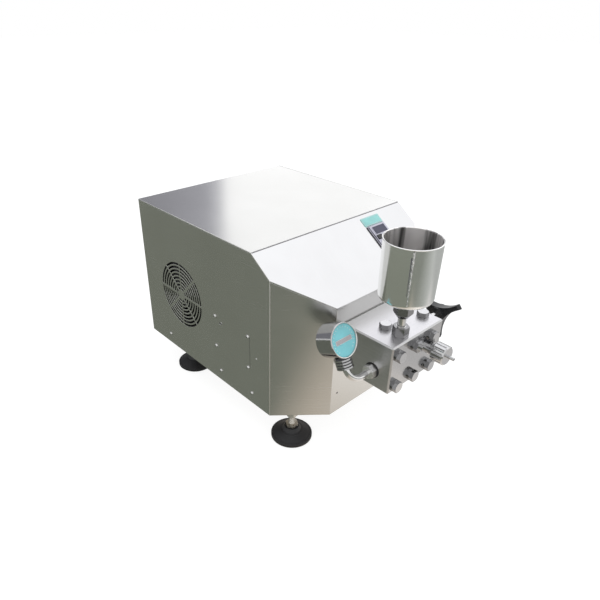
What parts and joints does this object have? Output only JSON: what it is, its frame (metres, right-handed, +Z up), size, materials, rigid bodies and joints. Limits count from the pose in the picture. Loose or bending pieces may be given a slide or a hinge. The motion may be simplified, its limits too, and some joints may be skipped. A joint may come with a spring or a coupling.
{
  "type": "high-pressure homogenizer",
  "caption": "Bench-top high-pressure homogenizer: sheet steel casing with a fan grille, bolted pump block, feed hopper, dial gauge on an elbow, star-handled valve, outlet and levelling feet.",
  "frame": {"origin": "on the floor under the middle of the overall box", "axes": "+Z up, -Y out of the pump end, +X towards the star handle"},
  "size_m": [0.4052, 0.675, 0.431],
  "materials": {
    "casing_steel": "brushed sheet",
    "block_steel": "satin machined",
    "polished_steel": "polished",
    "dark_steel": "dark machined",
    "base_steel": "plain sheet",
    "foot_rubber": "matte moulded",
    "black_plastic": "moulded",
    "handle_plastic": "moulded phenolic",
    "grey_plastic": "moulded",
    "display": "tinted window",
    "dial_teal": "printed face",
    "machine_paint": "enamel",
    "bearing_bronze": "machined",
    "belt_rubber": "cord belt",
    "fan_plastic": "moulded"
  },
  "bodies": {
    "root": {"left_side_panel": "casing_steel", "right_side_panel": "casing_steel", "top_panel": "casing_steel", "front_panel": "casing_steel", "rear_panel": "casing_steel", "base_plate": "base_steel", "panel_screws": "polished_steel", "foot_nuts": "polished_steel", "block_bolts": "polished_steel", "top_plugs": "polished_steel", "hopper_stem": "polished_steel", "hopper_cup": "polished_steel", "valve_bonnet": "polished_steel", "outlet_neck": "polished_steel", "outlet_lock_nut": "polished_steel", "outlet_nozzle": "polished_steel", "gauge_tube_nut": "polished_steel", "gauge_tube": "polished_steel", "gauge_case": "polished_steel", "suction_spring": "polished_steel", "discharge_spring": "polished_steel", "hopper_union_nut": "dark_steel", "hopper_adaptor": "dark_steel", "valve_seat": "dark_steel", "cable_gland": "black_plastic", "controller_housing": "grey_plastic", "terminal_plate": "grey_plastic", "controller_display": "display", "gauge_dial": "dial_teal", "motor_frame": "machine_paint", "crankcase": "machine_paint", "packing_gland": "bearing_bronze", "drive_belts": "belt_rubber", "packing": "belt_rubber", "fan_frame": "fan_plastic", "pump_block": "block_steel"},
    "foot_front_left": {"foot_pad_front_left": "foot_rubber", "foot_stud_front_left": "polished_steel"},
    "foot_front_right": {"foot_pad_front_right": "foot_rubber", "foot_stud_front_right": "polished_steel"},
    "foot_rear_left": {"foot_pad_rear_left": "foot_rubber", "foot_stud_rear_left": "polished_steel"},
    "foot_rear_right": {"foot_pad_rear_right": "foot_rubber", "foot_stud_rear_right": "polished_steel"},
    "fan_rotor": {"fan_rotor": "fan_plastic"},
    "crank": {"crank_shaft": "polished_steel", "crank_pulley": "dark_steel"},
    "motor_rotor": {"motor_shaft": "polished_steel", "motor_pulley": "dark_steel"},
    "plunger": {"plunger": "polished_steel", "crosshead": "polished_steel"},
    "suction_ball": {"suction_ball": "polished_steel"},
    "discharge_ball": {"discharge_ball": "polished_steel"},
    "valve_core": {"valve_core": "polished_steel"},
    "handle": {"valve_spindle": "polished_steel", "star_handle": "handle_plastic"},
    "key_upper_left": {"key_upper_left": "black_plastic"},
    "key_upper_right": {"key_upper_right": "black_plastic"},
    "key_lower_left": {"key_lower_left": "black_plastic"},
    "key_lower_right": {"key_lower_right": "black_plastic"}
  },
  "joints": [
    {"name": "foot_level_front_left", "type": "slide", "parent": "root", "child": "foot_front_left", "axis": [0, 0, 1], "range_m": [-0.012, 0.015]},
    {"name": "foot_level_front_right", "type": "slide", "parent": "root", "child": "foot_front_right", "axis": [0, 0, 1], "range_m": [-0.012, 0.015]},
    {"name": "foot_level_rear_left", "type": "slide", "parent": "root", "child": "foot_rear_left", "axis": [0, 0, 1], "range_m": [-0.012, 0.015]},
    {"name": "foot_level_rear_right", "type": "slide", "parent": "root", "child": "foot_rear_right", "axis": [0, 0, 1], "range_m": [-0.012, 0.015]},
    {"name": "fan_spin", "type": "hinge", "parent": "root", "child": "fan_rotor", "pos_m": [-0.198, 0.1755, 0.207], "axis": [1, 0, 0], "continuous": true},
    {"name": "crank_spin", "type": "hinge", "parent": "root", "child": "crank", "pos_m": [0, -0.0145, 0.188], "axis": [1, 0, 0], "continuous": true},
    {"name": "motor_spin", "type": "hinge", "parent": "root", "child": "motor_rotor", "pos_m": [0, 0.1835, 0.156], "axis": [1, 0, 0], "continuous": true},
    {"name": "plunger_stroke", "type": "slide", "parent": "root", "child": "plunger", "axis": [0, -1, 0], "range_m": [-0.012, 0.012]},
    {"name": "suction_lift", "type": "slide", "parent": "root", "child": "suction_ball", "axis": [0, 0, -1], "range_m": [0, 0.0025], "stiffness_N_per_m": 400, "springref_m": -0.002, "deforming": ["suction_spring"]},
    {"name": "discharge_lift", "type": "slide", "parent": "root", "child": "discharge_ball", "axis": [0, 0, 1], "range_m": [0, 0.0025], "stiffness_N_per_m": 400, "springref_m": -0.002, "deforming": ["discharge_spring"]},
    {"name": "core_feed", "type": "slide", "parent": "root", "child": "valve_core", "axis": [-1, 0, 0], "range_m": [0, 0.003]},
    {"name": "handle_turn", "type": "hinge", "parent": "valve_core", "child": "handle", "pos_m": [0, -0.2305, 0.214], "axis": [-1, 0, 0], "range_deg": [0, 541]},
    {"name": "key_upper_left_press", "type": "slide", "parent": "root", "child": "key_upper_left", "axis": [0, 0.5828, -0.8126], "range_m": [0, 0.0012], "stiffness_N_per_m": 600},
    {"name": "key_upper_right_press", "type": "slide", "parent": "root", "child": "key_upper_right", "axis": [0, 0.5828, -0.8126], "range_m": [0, 0.0012], "stiffness_N_per_m": 600},
    {"name": "key_lower_left_press", "type": "slide", "parent": "root", "child": "key_lower_left", "axis": [0, 0.5828, -0.8126], "range_m": [0, 0.0012], "stiffness_N_per_m": 600},
    {"name": "key_lower_right_press", "type": "slide", "parent": "root", "child": "key_lower_right", "axis": [0, 0.5828, -0.8126], "range_m": [0, 0.0012], "stiffness_N_per_m": 600}
  ],
  "couplings": [
    {"joint": "handle_turn", "follows": "core_feed", "rad_per_m": 3141.6},
    {"joint": "motor_spin", "follows": "crank_spin", "ratio": 2.1884}
  ]
}
